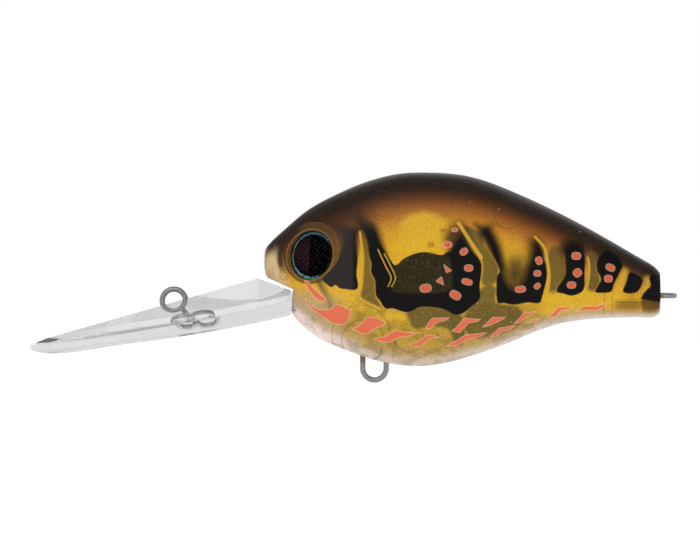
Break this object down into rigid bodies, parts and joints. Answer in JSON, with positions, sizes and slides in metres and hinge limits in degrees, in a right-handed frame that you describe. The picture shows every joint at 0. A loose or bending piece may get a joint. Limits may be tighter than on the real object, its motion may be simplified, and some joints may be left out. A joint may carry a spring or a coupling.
{
  "type": "crankbait lure",
  "caption": "Deep-diving fishing lure: hollow two-piece fish-shaped body, clear diving bill with line tie, wire hook hangers, 3-D eyes, ballast and loose rattle balls.",
  "frame": {"origin": "centre of the line tie, the wire eye on top of the diving bill where the fishing line is tied", "axes": "+X towards the tail, +Z towards the back (dorsal side) as the lure swims, +Y towards the lure's right side; Y = 0 is the plane where the two body halves meet"},
  "size_m": [0.1229, 0.0242, 0.0398],
  "materials": {
    "body_shell": "translucent amber plastic, sprayed dark on the back, clear gloss coat",
    "clear_plastic": "clear polycarbonate, polished",
    "steel_wire": "drawn stainless wire",
    "eye_foil": "printed metallic foil",
    "eye_pupil": "gloss black",
    "eye_dome": "clear resin dome",
    "ball_steel": "ground steel ball"
  },
  "bodies": {
    "lure": {"body_shell_left": "body_shell", "body_shell_right": "body_shell", "diving_bill": "clear_plastic", "line_tie_wire": "steel_wire", "belly_hanger_wire": "steel_wire", "tail_hanger_wire": "steel_wire", "left_eye_foil": "eye_foil", "left_eye_pupil": "eye_pupil", "left_eye_dome": "eye_dome", "right_eye_foil": "eye_foil", "right_eye_pupil": "eye_pupil", "right_eye_dome": "eye_dome", "ballast_ball": "ball_steel"},
    "front_rattle": {"front_rattle_ball": "ball_steel"},
    "rear_rattle": {"rear_rattle_ball": "ball_steel"},
    "tail_rattle": {"tail_rattle_ball": "ball_steel"}
  },
  "joints": [
    {"name": "front_rattle_roll", "type": "slide", "parent": "lure", "child": "front_rattle", "axis": [0, 1, 0], "range_m": [-0.0022, 0.0022]},
    {"name": "rear_rattle_roll", "type": "slide", "parent": "lure", "child": "rear_rattle", "axis": [0.9472, 0, 0.3206], "range_m": [0, 0.0058]},
    {"name": "tail_rattle_roll", "type": "slide", "parent": "lure", "child": "tail_rattle", "axis": [0.9397, 0, 0.342], "range_m": [0, 0.005]}
  ]
}
